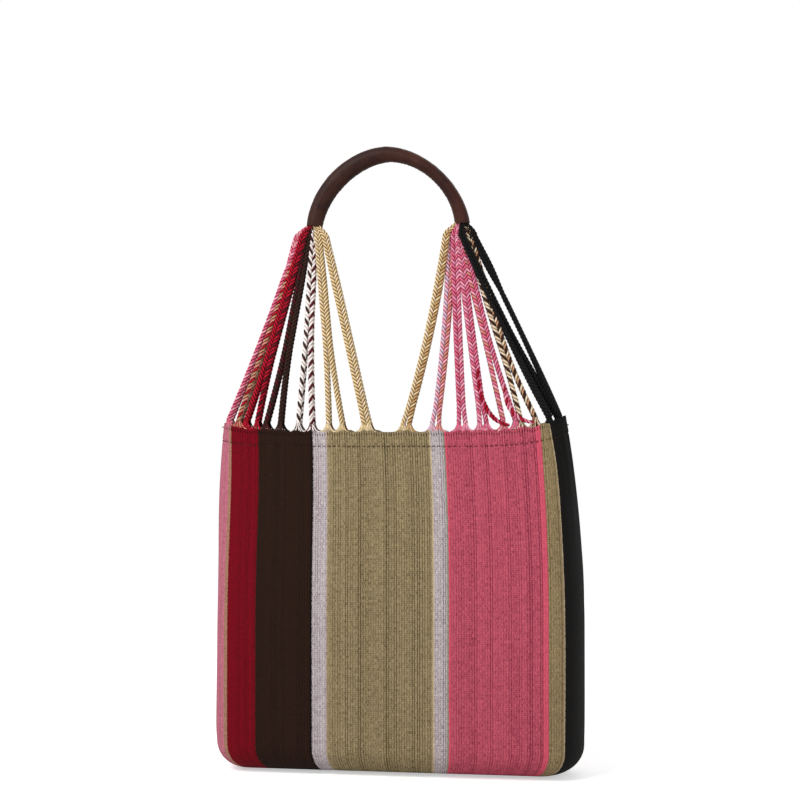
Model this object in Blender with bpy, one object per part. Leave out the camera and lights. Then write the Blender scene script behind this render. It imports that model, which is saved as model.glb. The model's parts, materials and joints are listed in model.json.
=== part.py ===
"""Woven hammock bag: a striped cotton pouch hung on twisted cords from a short leather handle.

Metres, +Z up, +X to the wearer's right, the front towards -Y. The origin is the hanging point, on the
underside of the handle's crown. The handle stays still, and the bag swings about one line, through the two
eyes at the ends of the handle on which all the cords are gathered.
"""

import math

import bmesh
import bpy
from mathutils import Matrix, Vector

# Clearance between pieces that touch, and how round things are.
CLEAR = 0.0003
TUBE_SIDES = 8
HANDLE_SIDES = 12

# Handle: an arch of rope inside a sewn leather tube.
HANDLE_HALF_SPAN = 0.0785
HANDLE_RISE = 0.0785
HANDLE_POWER = 1.8  # superellipse power: 2 is a half circle, less is a little pointed
HANDLE_END_ANGLE = math.radians(4.5)
HANDLE_STATIONS = 21
COVER_RADIUS = 0.008
COVER_WALL = 0.0016
COVER_SWELL = 0.19  # share by which the left shoulder is thicker, and the right one thinner
CORE_RECESS = 0.0045  # how far the rope stops short of the leather's end
SEAM_THREAD_RADIUS = 0.0006

# Eyes: the rope ends that come out of the handle, with a cross bar that the gathered loops turn on.
EYE_NECK_RADIUS = 0.0022
EYE_BAR_RADIUS = 0.0025
EYE_BAR_LENGTH = 0.017
WHIPPING_ROOM = 0.001  # between the whipping and the leather round it
WHIPPING_DROP = 0.002  # between the whipping and the rope above it

# Gathers: the bundled cord loops around each eye's bar.
GATHER_RADIUS = 0.007
GATHER_LENGTH = 0.018
GATHER_ROOM = 0.0025  # between the gather and the leather above it

# Pouch: a rounded sack, flat in front, whose mouth is narrower than its belly.
HEM_DROP = 0.280  # from the hanging point down to the middle of the hem
POUCH_HEIGHT = 0.350
CLOTH_WALL = 0.0025
MOUTH_LEFT, MOUTH_RIGHT = -0.162, 0.164  # the corners where front turns into side
MOUTH_LEFT_ROUND, MOUTH_RIGHT_ROUND = 0.010, 0.022
MOUTH_HALF_DEPTH = 0.015
BELLY_LEFT, BELLY_RIGHT = -0.159, 0.1765
BELLY_LEFT_ROUND, BELLY_RIGHT_ROUND = 0.020, 0.027
BELLY_HALF_DEPTH = 0.050
BELLY_DROP = 0.200  # from the hem down to the full belly
PANEL_CROWN = 0.003
BASE_ROUND = 0.028
BASE_CORNER = 0.020
HEM_LIFT_LEFT, HEM_LIFT_RIGHT = 0.005, 0.007
PANEL_STEPS = 8
SIDE_STEPS = 6
BELLY_LEVELS = 5
BASE_LEVELS = 3

# Sewing.
HEM_DEPTH = 0.016
FACING_WALL = 0.0013
STITCH_RADIUS = 0.0005
SEAM_HALF_WIDTH = 0.0032
SEAM_WALL = 0.0014

# Cords: each is one twisted pair, from a gather down to the hem. The waist is where it has come down by
# WAIST_SHARE of its drop.
CORD_RADIUS = 0.0043
CORD_TOP_RADIUS = 0.00115
CORD_TOP_DEPTH = 0.0026
CORD_LEVELS = (0.0, 0.09, 0.2, 0.43, 0.7, 1.0)
WAIST_SHARE = 0.43
LEFT_CORDS = (
    # name, place at the waist outwards from the eye, share of the way from the middle of the hem to its end
    ("01_pink", 0.048, 0.974),
    ("02_tan", 0.038, 0.902),
    ("03_crimson", 0.028, 0.831),
    ("04_brown", 0.014, 0.686),
    ("05_brown_white", 0.001, 0.500),
    ("06_khaki", -0.014, 0.297),
    ("07_khaki", -0.031, 0.110),
)
RIGHT_CORDS = (
    ("08_khaki", -0.036, 0.097),
    ("09_lilac", -0.022, 0.269),
    ("10_pink", -0.006, 0.419),
    ("11_pink", 0.006, 0.543),
    ("12_pink", 0.019, 0.688),
    ("13_khaki_brown", 0.033, 0.796),
    ("14_black", 0.044, 0.909),
    ("15_black", 0.056, 0.968),
)

# Worked out from the sizes above.
ARCH_CENTRE_Z = COVER_RADIUS - HANDLE_RISE
COVER_END_Z = ARCH_CENTRE_Z + HANDLE_RISE * math.sin(HANDLE_END_ANGLE) ** (2 / HANDLE_POWER)
EYE_X = HANDLE_HALF_SPAN * (1 - math.sin(HANDLE_END_ANGLE) ** 2) ** (1 / HANDLE_POWER)
AXIS_Z = COVER_END_Z - GATHER_RADIUS - GATHER_ROOM
CORE_END_ANGLE = HANDLE_END_ANGLE + CORE_RECESS / HANDLE_RISE
HEM_Z = -HEM_DROP
BASE_Z = HEM_Z - POUCH_HEIGHT
FACING_INSET = CLOTH_WALL + CLEAR
SEAM_INSET = CLOTH_WALL + 2 * CLEAR  # the cloth is twisted a little where the seam runs down it

COLOURS = {
    # colour, roughness
    "leather": ((0.075, 0.036, 0.026), 0.5),
    "rope": ((0.42, 0.33, 0.20), 0.9),
    "thread": ((0.05, 0.03, 0.02), 0.8),
    "pink": ((0.40, 0.07, 0.11), 0.9),
    "tan": ((0.33, 0.16, 0.12), 0.9),
    "crimson": ((0.13, 0.006, 0.012), 0.9),
    "brown": ((0.03, 0.015, 0.010), 0.9),
    "brown_white": ((0.16, 0.12, 0.10), 0.9),
    "khaki": ((0.34, 0.27, 0.13), 0.9),
    "lilac": ((0.40, 0.31, 0.34), 0.9),
    "khaki_brown": ((0.22, 0.16, 0.09), 0.9),
    "black": ((0.010, 0.009, 0.009), 0.9),
    "cloth": ((0.17, 0.12, 0.06), 0.95),
}


def material(name):
    """The Principled material of one colour, made on first use."""
    if name not in bpy.data.materials:
        made = bpy.data.materials.new(name)
        made.use_nodes = True
        shader = made.node_tree.nodes["Principled BSDF"]
        colour, roughness = COLOURS[name]
        shader.inputs["Base Color"].default_value = (*colour, 1.0)
        shader.inputs["Roughness"].default_value = roughness
        shader.inputs["Metallic"].default_value = 0.0
    return bpy.data.materials[name]


def add_object(name, mesh, colour, smooth=True):
    """Puts a mesh in the scene under its own name and material."""
    if smooth:
        mesh.shade_smooth()
        mesh.set_sharp_from_angle(angle=math.radians(40))
    mesh.materials.append(material(colour))
    obj = bpy.data.objects.new(name, mesh)
    bpy.context.scene.collection.objects.link(obj)
    return obj


def loft(name, rings, ring_closed=False):
    """A closed mesh through rings of equal length. It is capped at both ends, or joined end to end."""
    mesh = bpy.data.meshes.new(name)
    bm = bmesh.new()
    rows = [[bm.verts.new(point) for point in ring] for ring in rings]
    pairs = list(zip(rows, rows[1:]))
    if ring_closed:
        pairs.append((rows[-1], rows[0]))
    for low, high in pairs:
        for i, corner in enumerate(low):
            j = (i + 1) % len(low)
            bm.faces.new((corner, low[j], high[j], high[i]))
    if not ring_closed:
        bm.faces.new(reversed(rows[0]))
        bm.faces.new(rows[-1])
    bmesh.ops.recalc_face_normals(bm, faces=bm.faces)
    bm.to_mesh(mesh)
    bm.free()
    return mesh


def mix(start, end, share):
    return start + (end - start) * share


# ---- Handle ----


def arch_place(turn, offset=0.0):
    """A point of the arch's centreline, moved outwards by offset, and the outward direction there.

    turn is 0 at the left foot of the arch, pi/2 at its crown and pi at its right foot.
    """
    power = 2 / HANDLE_POWER
    across, up = math.cos(turn), math.sin(turn)
    x = -math.copysign(abs(across) ** power, across) * HANDLE_HALF_SPAN
    z = up**power * HANDLE_RISE
    normal = Vector(
        (
            math.copysign(abs(x / HANDLE_HALF_SPAN) ** (HANDLE_POWER - 1), x) / HANDLE_HALF_SPAN,
            0,
            (z / HANDLE_RISE) ** (HANDLE_POWER - 1) / HANDLE_RISE,
        )
    ).normalized()
    return Vector((x, 0, ARCH_CENTRE_Z + z)) + normal * offset, normal


def arch_turns():
    """Even steps along the arch between the leather's two ends."""
    span = math.pi - 2 * HANDLE_END_ANGLE
    return [HANDLE_END_ANGLE + span * i / (HANDLE_STATIONS - 1) for i in range(HANDLE_STATIONS)]


def cover_half_height(turn):
    """Half the leather's thickness in the plane of the arch: the hand-sewn tube isn't even."""
    return COVER_RADIUS * (1 + COVER_SWELL * math.sin(2 * turn))


def arch_ring(turn, wall):
    """One cross-section of the handle, this far inside the leather's surface."""
    centre, normal = arch_place(turn)
    high, deep = cover_half_height(turn) - wall, COVER_RADIUS - wall
    ring = []
    for i in range(HANDLE_SIDES):
        angle = 2 * math.pi * i / HANDLE_SIDES
        ring.append(centre + normal * high * math.cos(angle) + Vector((0, deep * math.sin(angle), 0)))
    return ring


def make_handle():
    turns = arch_turns()
    outer = [arch_ring(turn, 0) for turn in turns]
    inner = [arch_ring(turn, COVER_WALL) for turn in reversed(turns)]
    add_object("handle_leather_cover", loft("handle_leather_cover", outer + inner, True), "leather")

    core_turns = [CORE_END_ANGLE] + turns[1:-1] + [math.pi - CORE_END_ANGLE]
    core = [arch_ring(turn, COVER_WALL + 2 * CLEAR) for turn in core_turns]
    add_object("handle_rope_core", loft("handle_rope_core", core), "rope")

    thread = []
    for turn in turns[1:-1]:
        inside = -(cover_half_height(turn) + CLEAR + SEAM_THREAD_RADIUS)
        centre, normal = arch_place(turn, inside)
        side = Vector((0, SEAM_THREAD_RADIUS, 0))
        up = normal * SEAM_THREAD_RADIUS
        thread.append([centre + up, centre + side, centre - up, centre - side])
    add_object("handle_seam_thread", loft("handle_seam_thread", thread), "thread")


def round_bar(name, centre, axis, radius, length, sides=16):
    """A plain round bar about its centre, along X or Z."""
    mesh = bpy.data.meshes.new(name)
    bm = bmesh.new()
    bmesh.ops.create_cone(
        bm, cap_ends=True, segments=sides, radius1=radius, radius2=radius, depth=length
    )
    if axis == "X":
        bmesh.ops.rotate(bm, verts=bm.verts, matrix=Matrix.Rotation(math.pi / 2, 3, "Y"))
    bmesh.ops.translate(bm, verts=bm.verts, vec=centre)
    bm.to_mesh(mesh)
    bm.free()
    return mesh


def helper(name, mesh):
    """A cutter or a shape to join: it isn't a piece itself."""
    obj = bpy.data.objects.new(name, mesh)
    bpy.context.scene.collection.objects.link(obj)
    obj.hide_render = True
    obj.display_type = "WIRE"
    return obj


def boolean(obj, other, operation):
    modifier = obj.modifiers.new(other.name, "BOOLEAN")
    modifier.object = other
    modifier.operation = operation
    modifier.solver = "EXACT"


def make_eye(side, sign):
    """The rope end below one end of the handle: a neck with a cross bar, and its whipping."""
    x = sign * EYE_X
    centre, _ = arch_place(CORE_END_ANGLE)
    core_end_z = centre.z - 3 * CLEAR
    name = f"cord_eye_{side}"
    neck_length = core_end_z - AXIS_Z
    neck = round_bar(name, (x, 0, AXIS_Z + neck_length / 2), "Z", EYE_NECK_RADIUS, neck_length)
    eye = add_object(name, neck, "rope")
    bar = round_bar(f"{name}_bar", (x, 0, AXIS_Z), "X", EYE_BAR_RADIUS, EYE_BAR_LENGTH)
    boolean(eye, helper(f"{name}_bar", bar), "UNION")

    name = f"core_whipping_{side}"
    outside = COVER_RADIUS - COVER_WALL - WHIPPING_ROOM
    inside = EYE_NECK_RADIUS + CLEAR
    bottom, top = COVER_END_Z, COVER_END_Z + CORE_RECESS - WHIPPING_DROP
    circles = [(outside, bottom), (outside, top), (inside, top), (inside, bottom)]
    rings = [circle((x, 0, z), radius, HANDLE_SIDES) for radius, z in circles]
    add_object(name, loft(name, rings, True), "thread")


def make_gather(side, sign):
    """The bundled loops on one eye's bar, with a slot that lets them swing round the neck."""
    name = f"cord_gather_{side}"
    centre = (sign * EYE_X, 0, AXIS_Z)
    gather = add_object(name, round_bar(name, centre, "X", GATHER_RADIUS, GATHER_LENGTH), "rope")
    bore = round_bar(f"{name}_bore", centre, "X", EYE_BAR_RADIUS + CLEAR, 2 * GATHER_LENGTH)
    boolean(gather, helper(f"{name}_bore", bore), "DIFFERENCE")

    slot = bpy.data.meshes.new(f"{name}_slot")
    bm = bmesh.new()
    bmesh.ops.create_cube(bm, size=1)
    width, floor = 2 * (EYE_NECK_RADIUS + 2 * CLEAR), EYE_NECK_RADIUS + CLEAR
    height = 2 * GATHER_RADIUS
    bmesh.ops.scale(bm, verts=bm.verts, vec=(width, 4 * GATHER_RADIUS, height))
    bmesh.ops.translate(bm, verts=bm.verts, vec=(centre[0], 0, AXIS_Z - floor + height / 2))
    bm.to_mesh(slot)
    bm.free()
    boolean(gather, helper(f"{name}_slot", slot), "DIFFERENCE")


def circle(centre, radius, sides):
    """A level ring of points."""
    x, y, z = centre
    turns = [2 * math.pi * i / sides for i in range(sides)]
    return [Vector((x + radius * math.cos(turn), y + radius * math.sin(turn), z)) for turn in turns]


# ---- Pouch ----


def section(drop):
    """The pouch's outline this far below the hem: its corners, their rounds, and half its depth."""
    share = min(drop / BELLY_DROP, 1)
    eased = share * (2 - share)
    return (
        mix(MOUTH_LEFT, BELLY_LEFT, eased),
        mix(MOUTH_RIGHT, BELLY_RIGHT, eased),
        mix(MOUTH_LEFT_ROUND, BELLY_LEFT_ROUND, eased),
        mix(MOUTH_RIGHT_ROUND, BELLY_RIGHT_ROUND, eased),
        mix(MOUTH_HALF_DEPTH, BELLY_HALF_DEPTH, eased),
    )


def hem_lift(x):
    """How far the cords pull the hem up: nothing in the middle, most at the two ends."""
    if x < 0:
        return HEM_LIFT_LEFT * min(x / MOUTH_LEFT, 1) ** 4
    return HEM_LIFT_RIGHT * min(x / MOUTH_RIGHT, 1) ** 4


def outline(drop, inset, tuck=0.0):
    """The pouch's points around one level, anticlockwise from the front left corner.

    inset is the distance inside the outer surface. tuck, from 0 to 1, is how far the level has turned in
    under the base. The first points run along the front, then come the right side, the back and the left.
    """
    left, right, left_round, right_round, depth = section(drop)
    left += BASE_CORNER * tuck
    right -= BASE_CORNER * tuck
    depth -= BASE_ROUND * tuck + inset
    left_round = mix(left_round, left_round / 2, tuck) - inset
    right_round = mix(right_round, right_round / 2, tuck) - inset

    points = []
    for i in range(PANEL_STEPS):
        share = i / PANEL_STEPS
        crown = PANEL_CROWN * (1 - (2 * share - 1) ** 2) * (1 - tuck)
        points.append((mix(left, right, share), -depth - crown))
    for i in range(SIDE_STEPS):
        turn = math.pi * i / SIDE_STEPS
        points.append((right + right_round * math.sin(turn), -depth * math.cos(turn)))
    back = [(x, -y) for x, y in reversed(points[1:PANEL_STEPS])]
    points += [(right, depth)] + back
    for i in range(SIDE_STEPS):
        turn = math.pi * i / SIDE_STEPS
        points.append((left - left_round * math.sin(turn), depth * math.cos(turn)))
    return points


def hem_ring(below, inset):
    """A level of the pouch that follows the hem's edge, this far below it."""
    return [Vector((x, y, HEM_Z + hem_lift(x) - below)) for x, y in outline(0, inset)]


def pouch_levels(inset):
    """Rings from the hem down to the base, this far inside the outer surface."""
    rings = [hem_ring(0, inset), hem_ring(HEM_DEPTH, inset)]
    straight = POUCH_HEIGHT - BASE_ROUND
    for i in range(1, BELLY_LEVELS + 1):
        drop = HEM_DEPTH + (straight - HEM_DEPTH) * i / BELLY_LEVELS
        rings.append([Vector((x, y, HEM_Z - drop)) for x, y in outline(drop, inset)])
    for i in range(1, BASE_LEVELS + 1):
        turn = math.pi / 2 * i / BASE_LEVELS
        z = BASE_Z + BASE_ROUND - (BASE_ROUND - inset) * math.sin(turn)
        tuck = 1 - math.cos(turn)
        rings.append([Vector((x, y, z)) for x, y in outline(straight, inset, tuck)])
    return rings


def make_pouch():
    rings = list(reversed(pouch_levels(0))) + pouch_levels(CLOTH_WALL)
    add_object("pouch_cloth", loft("pouch_cloth", rings), "cloth")


def front_half(ring, side):
    """The points of one level from the left seam to the right one, along the front or the back."""
    across = PANEL_STEPS + SIDE_STEPS // 2
    left_start = len(ring) - SIDE_STEPS // 2 + 1
    front = ring[left_start:] + ring[:across]
    if side == "front":
        return front
    return [Vector((point.x, -point.y, point.z)) for point in front]


def make_hem(side):
    """The turned-in strip behind one hem, and the line of stitches that holds it."""
    name = f"hem_facing_{side}"
    corners = [
        front_half(hem_ring(below, inset), side)
        for below, inset in (
            (CLEAR, FACING_INSET),
            (HEM_DEPTH, FACING_INSET),
            (HEM_DEPTH, FACING_INSET + FACING_WALL),
            (CLEAR, FACING_INSET + FACING_WALL),
        )
    ]
    add_object(name, loft(name, list(zip(*corners))), "cloth", smooth=False)

    name = f"hem_stitch_{side}"
    outside = CLEAR + STITCH_RADIUS
    rings = []
    for point in front_half(hem_ring(HEM_DEPTH, -outside), side):
        rings.append(
            [
                point + Vector((0, STITCH_RADIUS * math.cos(turn), STITCH_RADIUS * math.sin(turn)))
                for turn in (0, math.pi / 2, math.pi, 3 * math.pi / 2)
            ]
        )
    corner = SIDE_STEPS // 2 - 1
    add_object(name, loft(name, rings[corner:-corner]), "thread")


def make_side_seam(side):
    """The felled seam inside one side, from the hem's turning down to the base."""
    name = f"side_seam_{side}"
    middle = PANEL_STEPS + SIDE_STEPS // 2
    if side == "left":
        middle += PANEL_STEPS + SIDE_STEPS
    near, far = pouch_levels(SEAM_INSET), pouch_levels(SEAM_INSET + SEAM_WALL)
    rings = []
    for index in range(1, BELLY_LEVELS + 2):
        ring = []
        for level, step in ((near, -1), (near, 0), (near, 1), (far, 1), (far, 0), (far, -1)):
            centre, neighbour = level[index][middle], level[index][middle + step]
            share = SEAM_HALF_WIDTH / abs(neighbour.y - centre.y) if step else 0
            ring.append(centre.lerp(neighbour, share))
        rings.append(ring)
    add_object(name, loft(name, rings), "cloth", smooth=False)


# ---- Cords ----


def rim_height(x):
    """The hem edge's height at this place, read along the front of its outline."""
    rim = [point for point in hem_ring(0, CLOTH_WALL / 2) if point.y < 0]
    rim.sort(key=lambda point: point.x)
    x = max(rim[0].x, min(x, rim[-1].x))
    for left, right in zip(rim, rim[1:]):
        if left.x <= x <= right.x:
            return mix(left.z, right.z, (x - left.x) / (right.x - left.x))
    return rim[-1].z


def rim_depth(x):
    """Half the distance between the front and back hem edges at this place."""
    left, right, left_round, right_round, depth = section(0)
    depth -= CLOTH_WALL / 2
    if x < left:
        return depth * math.sqrt(1 - ((left - x) / (left_round - CLOTH_WALL / 2)) ** 2)
    if x > right:
        return depth * math.sqrt(1 - ((x - right) / (right_round - CLOTH_WALL / 2)) ** 2)
    return depth


def cord_x(top, waist, hem, share):
    """Where the cord is at this share of its drop: one smooth curve through its three places."""
    return (
        top * (share - WAIST_SHARE) * (share - 1) / WAIST_SHARE
        + waist * share * (share - 1) / (WAIST_SHARE * (WAIST_SHARE - 1))
        + hem * share * (share - WAIST_SHARE) / (1 - WAIST_SHARE)
    )


def make_cords(cords, sign, hem_end):
    """The cords of one side of the bag, both rows, as thick as their neighbours leave room for."""
    spread = GATHER_LENGTH - 2 * CORD_TOP_RADIUS
    tops = [sign * EYE_X - spread / 2 + spread * i / (len(cords) - 1) for i in range(len(cords))]
    top_z = AXIS_Z - GATHER_RADIUS - CLEAR
    routes = []
    for (_, waist, hem), top in zip(cords, tops):
        waist_x = sign * (EYE_X + waist)
        routes.append([cord_x(top, waist_x, hem * hem_end, share) for share in CORD_LEVELS])

    for i, ((name, _, _), route) in enumerate(zip(cords, routes)):
        neighbours = routes[max(i - 1, 0) : i] + routes[i + 1 : i + 2]
        depth = rim_depth(route[-1])
        foot_z = CLEAR + max(rim_height(route[-1] + step) for step in (-CORD_RADIUS, 0, CORD_RADIUS))
        for row, towards in (("front", -1), ("back", 1)):
            rings = []
            for level, share in enumerate(CORD_LEVELS):
                y = mix(CORD_TOP_DEPTH, depth, share)
                gap = min([abs(other[level] - route[level]) for other in neighbours] + [2 * y])
                radius = min(CORD_RADIUS, (gap - CLEAR) / 2)
                centre = (route[level], towards * y, mix(top_z, foot_z, share))
                rings.append(circle(centre, radius, TUBE_SIDES))
            colour = name[3:]
            full_name = f"{row}_cord_{name}"
            add_object(full_name, loft(full_name, rings), colour)


def main():
    for obj in list(bpy.data.objects):
        bpy.data.objects.remove(obj, do_unlink=True)
    make_handle()
    for side, sign in (("left", -1), ("right", 1)):
        make_eye(side, sign)
        make_gather(side, sign)
        make_side_seam(side)
    make_pouch()
    for side in ("front", "back"):
        make_hem(side)
    make_cords(LEFT_CORDS, -1, MOUTH_LEFT - MOUTH_LEFT_ROUND)
    make_cords(RIGHT_CORDS, 1, MOUTH_RIGHT + MOUTH_RIGHT_ROUND)


main()
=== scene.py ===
import json
import math
import random

import bpy
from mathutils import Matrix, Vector, noise


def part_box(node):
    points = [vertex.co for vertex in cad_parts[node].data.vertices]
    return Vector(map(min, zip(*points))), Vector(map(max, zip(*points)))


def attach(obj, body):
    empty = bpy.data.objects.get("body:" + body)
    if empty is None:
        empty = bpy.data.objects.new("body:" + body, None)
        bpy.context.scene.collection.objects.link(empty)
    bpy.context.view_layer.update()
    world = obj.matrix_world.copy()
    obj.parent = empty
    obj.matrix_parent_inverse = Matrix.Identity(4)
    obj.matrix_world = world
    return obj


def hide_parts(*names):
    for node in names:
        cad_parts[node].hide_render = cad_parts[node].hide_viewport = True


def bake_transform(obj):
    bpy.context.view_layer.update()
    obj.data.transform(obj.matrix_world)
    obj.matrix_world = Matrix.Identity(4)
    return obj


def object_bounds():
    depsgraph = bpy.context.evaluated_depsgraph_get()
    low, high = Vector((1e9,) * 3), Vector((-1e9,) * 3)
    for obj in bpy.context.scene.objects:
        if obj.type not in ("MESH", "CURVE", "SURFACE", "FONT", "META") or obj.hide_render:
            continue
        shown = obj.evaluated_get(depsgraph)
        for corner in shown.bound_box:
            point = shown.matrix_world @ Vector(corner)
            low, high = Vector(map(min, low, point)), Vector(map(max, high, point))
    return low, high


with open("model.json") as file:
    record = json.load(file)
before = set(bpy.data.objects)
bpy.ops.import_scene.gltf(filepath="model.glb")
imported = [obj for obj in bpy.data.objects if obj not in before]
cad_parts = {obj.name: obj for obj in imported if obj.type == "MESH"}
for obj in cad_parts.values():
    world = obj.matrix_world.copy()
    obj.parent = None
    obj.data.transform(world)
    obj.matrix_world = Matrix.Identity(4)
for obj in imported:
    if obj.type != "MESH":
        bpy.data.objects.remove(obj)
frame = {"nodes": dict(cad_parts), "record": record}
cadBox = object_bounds()
bpy.ops.object.select_all(action="DESELECT")
print("frame loaded")


def mix(start, end, share):
    return start + (end - start) * share


def easeIn(share):
    share = max(0.0, min(1.0, share))
    return share * share * (3 - 2 * share)


def linear(red, green, blue):
    # a colour written as on a screen, 0 to 255, turned into the shader's own scale
    shares = (red / 255, green / 255, blue / 255)
    return tuple(s / 12.92 if s <= 0.04 else ((s + 0.055) / 1.055) ** 2.4 for s in shares) + (1,)


pouchLow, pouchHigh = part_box("pouch_cloth")
coverLow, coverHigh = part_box("handle_leather_cover")
axisZ = frame["record"]["behaviour"]["joints"][0]["pos_m"][2]

studio = {
    "turn": math.radians(10),  # how far the camera stands to the right of the front
    "distance": 1.96,
    "eyeLevel": -0.29,
    "aim": 0.0125,  # how far it looks to the right of the handle's middle
    "lens": 84.8,
    "rise": 0.051,
    "floorGap": 0.0022,
    "floorRadius": 3.0,
    "ambient": 0.42,  # what the white surroundings give as light, as a share of how they look
    "paperGlow": 0.5,
}


def makeCamera():
    turn = studio["turn"]
    across = Vector((math.cos(turn), math.sin(turn), 0))
    back = Vector((math.sin(turn), -math.cos(turn), 0))
    data = bpy.data.cameras.new("camera")
    data.lens = studio["lens"]
    data.shift_y = studio["rise"]
    camera = bpy.data.objects.new("camera", data)
    camera.location = across * studio["aim"] + back * studio["distance"]
    camera.location.z = studio["eyeLevel"]
    camera.rotation_euler = (math.pi / 2, 0, turn)
    bpy.context.collection.objects.link(camera)
    bpy.context.scene.camera = camera


def makeLamp(name, place, size, power, aim=(0, 0, -0.3)):
    data = bpy.data.lights.new(name, "AREA")
    data.size = size
    data.energy = power
    lamp = bpy.data.objects.new(name, data)
    lamp.location = place
    lamp.rotation_euler = (Vector(aim) - Vector(place)).to_track_quat("-Z", "Y").to_euler()
    bpy.context.collection.objects.link(lamp)


def addNode(tree, kind, inputs=None, **settings):
    node = tree.nodes.new(kind)
    for name, value in settings.items():
        setattr(node, name, value)
    for name, value in (inputs or {}).items():
        if isinstance(value, bpy.types.NodeSocket):
            tree.links.new(value, node.inputs[name])
        else:
            node.inputs[name].default_value = value
    return node


def maths(tree, operation, first, second=0.0, third=0.0):
    inputs = {0: first, 1: second, 2: third}
    return addNode(tree, "ShaderNodeMath", inputs, operation=operation).outputs[0]


def blendColour(tree, factor, first, second, kind="MIX"):
    inputs = {0: factor, 6: first, 7: second}
    node = addNode(tree, "ShaderNodeMix", inputs, data_type="RGBA", blend_type=kind)
    return node.outputs[2]


def noiseAt(tree, place, scale, detail, **more):
    inputs = {"Vector": place, "Scale": scale, "Detail": detail, **more}
    return addNode(tree, "ShaderNodeTexNoise", inputs).outputs["Fac"]


def diceAt(tree, number):
    return addNode(tree, "ShaderNodeTexWhiteNoise", {"W": number}, noise_dimensions="1D").outputs["Value"]


def shareBetween(tree, value, low, high):
    inputs = {"Value": value, "From Min": low, "From Max": high}
    return addNode(tree, "ShaderNodeMapRange", inputs).outputs[0]


def mapPlace(tree, name):
    uv = addNode(tree, "ShaderNodeUVMap", uv_map=name).outputs[0]
    return uv, addNode(tree, "ShaderNodeSeparateXYZ", {0: uv}).outputs


def addBump(tree, shader, strength, distance, height):
    bump = addNode(tree, "ShaderNodeBump", {"Strength": strength, "Distance": distance, "Height": height})
    tree.links.new(bump.outputs[0], shader.inputs["Normal"])


def newMaterial(name, **shaderValues):
    # the values that are the same all over the material go straight on the shader
    material = bpy.data.materials.new(name)
    material.use_nodes = True
    shader = material.node_tree.nodes["Principled BSDF"]
    for socket, value in shaderValues.items():
        shader.inputs[socket.replace("_", " ")].default_value = value
    return material, material.node_tree, shader


def makeStudio():
    world = bpy.data.worlds.new("studio")
    bpy.context.scene.world = world
    world.use_nodes = True
    tree = world.node_tree
    path = addNode(tree, "ShaderNodeLightPath")
    seen = maths(tree, "MAXIMUM", path.outputs["Is Camera Ray"], path.outputs["Is Glossy Ray"])
    seen = maths(tree, "MAXIMUM", seen, path.outputs["Is Transmission Ray"])
    background = tree.nodes["Background"]
    background.inputs["Color"].default_value = (1, 1, 1, 1)
    strength = maths(tree, "MULTIPLY_ADD", seen, 1 - studio["ambient"], studio["ambient"])
    tree.links.new(strength, background.inputs["Strength"])

    floorZ = cadBox[0].z - studio["floorGap"]
    bpy.ops.mesh.primitive_circle_add(vertices=96, radius=studio["floorRadius"], fill_type="NGON")
    floor = bpy.context.object
    floor.name = "studioFloor"
    for vertex in floor.data.vertices:
        vertex.co.z = floorZ
    material, tree, shader = newMaterial("floorPaper", Roughness=0.9)
    shader.inputs["Base Color"].default_value = (0.93, 0.93, 0.93, 1)
    shader.inputs["Emission Color"].default_value = (1, 1, 1, 1)
    path = addNode(tree, "ShaderNodeLightPath")
    glow = maths(tree, "MULTIPLY", path.outputs["Is Camera Ray"], studio["paperGlow"])
    tree.links.new(glow, shader.inputs["Emission Strength"])
    floor.data.materials.append(material)

    makeLamp("keyLamp", (-1.2, -1.7, 1.3), 1.2, 44)
    makeLamp("fillLamp", (1.5, -1.8, 0.1), 1.8, 13)
    makeLamp("backLamp", (0.3, 1.9, 1.2), 1.6, 9)
    bpy.context.scene.view_settings.view_transform = "Standard"


makeCamera()
makeStudio()
print("studio ready")


def newGroup(name, inputs, outputs):
    group = bpy.data.node_groups.new(name, "ShaderNodeTree")
    for label, kind in inputs:
        group.interface.new_socket(label, in_out="INPUT", socket_type="NodeSocket" + kind)
    for label, kind in outputs:
        group.interface.new_socket(label, in_out="OUTPUT", socket_type="NodeSocket" + kind)
    return group, addNode(group, "NodeGroupInput").outputs, addNode(group, "NodeGroupOutput").inputs


def meshPiece(name, points, faces, mapName, places):
    mesh = bpy.data.meshes.new(name)
    mesh.from_pydata(points, [], faces)
    mesh.uv_layers.new(name=mapName).data.foreach_set("uv", places)
    mesh.polygons.foreach_set("use_smooth", [True] * len(mesh.polygons))
    obj = bpy.data.objects.new(name, mesh)
    bpy.context.collection.objects.link(obj)
    return obj


def holdOnly(obj):
    bpy.ops.object.select_all(action="DESELECT")
    bpy.context.view_layer.objects.active = obj
    obj.select_set(True)


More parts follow.
